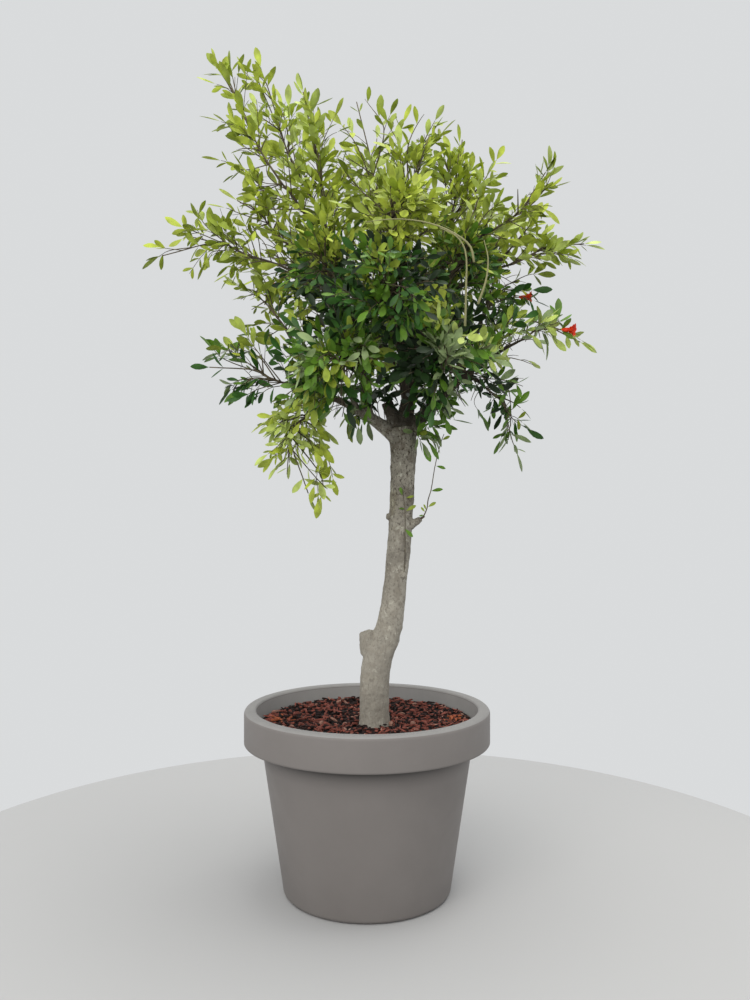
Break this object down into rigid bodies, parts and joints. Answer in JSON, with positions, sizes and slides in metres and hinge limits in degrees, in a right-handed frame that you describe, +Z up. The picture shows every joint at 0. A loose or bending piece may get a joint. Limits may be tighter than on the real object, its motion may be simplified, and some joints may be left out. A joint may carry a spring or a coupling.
{
  "type": "potted pomegranate tree",
  "caption": "Young pomegranate tree in a round rimmed planter: a leaning bare trunk forks into tapering boughs that carry an open, full crown of small oblong leaves.",
  "frame": {"origin": "centre of the planter's flat underside", "axes": "+Z up; -Y towards the side the tree is first seen from; +X to the right from there"},
  "size_m": [0.9582, 0.805, 1.7299],
  "materials": {
    "pot": "matte",
    "soil": "matte",
    "mulch": "matte",
    "bark": "matte",
    "leaf_bright": "satin",
    "leaf_lime": "satin",
    "leaf_light": "satin",
    "leaf_green": "satin",
    "leaf_deep": "satin",
    "leaf_sage": "satin",
    "leaf_sprout": "satin"
  },
  "bodies": {
    "root": {"pot": "pot", "soil": "soil", "mulch": "mulch", "trunk": "bark", "bough_left_low": "bark", "bough_left_mid": "bark", "bough_left_droop": "bark", "bough_front_left": "bark", "bough_top_left": "bark", "bough_core_left": "bark", "bough_left_reach": "bark", "bough_left_fill": "bark", "bough_spire_left": "bark", "bough_spire_inner": "bark", "bough_top_right": "bark", "bough_core_right": "bark", "bough_spire_right": "bark", "bough_right_upper": "bark", "bough_top_mid": "bark", "bough_top_centre": "bark", "bough_back_top": "bark", "bough_front_mid": "bark", "bough_front_top": "bark", "bough_back_low": "bark", "bough_back_left": "bark", "bough_back_right": "bark", "bough_right_lower": "bark", "bough_right_mid": "bark", "bough_right_droop": "bark", "bough_front_right": "bark", "mass_left_low": "leaf_bright", "mass_left_mid": "leaf_lime", "mass_left_droop": "leaf_light", "mass_front_left": "leaf_bright", "mass_top_left": "leaf_lime", "mass_core_left": "leaf_green", "mass_left_reach": "leaf_lime", "mass_left_fill": "leaf_lime", "mass_spire_left": "leaf_lime", "mass_spire_inner": "leaf_lime", "mass_top_right": "leaf_lime", "mass_core_right": "leaf_deep", "mass_spire_right": "leaf_lime", "mass_right_upper": "leaf_lime", "mass_top_mid": "leaf_lime", "mass_top_centre": "leaf_lime", "mass_back_top": "leaf_lime", "mass_front_mid": "leaf_green", "mass_front_top": "leaf_lime", "mass_back_low": "leaf_deep", "mass_back_left": "leaf_green", "mass_back_right": "leaf_green", "mass_right_lower": "leaf_sage", "mass_right_mid": "leaf_deep", "mass_right_droop": "leaf_deep", "mass_front_right": "leaf_sage", "trunk_sprout": "leaf_sprout"}
  },
  "joints": []
}
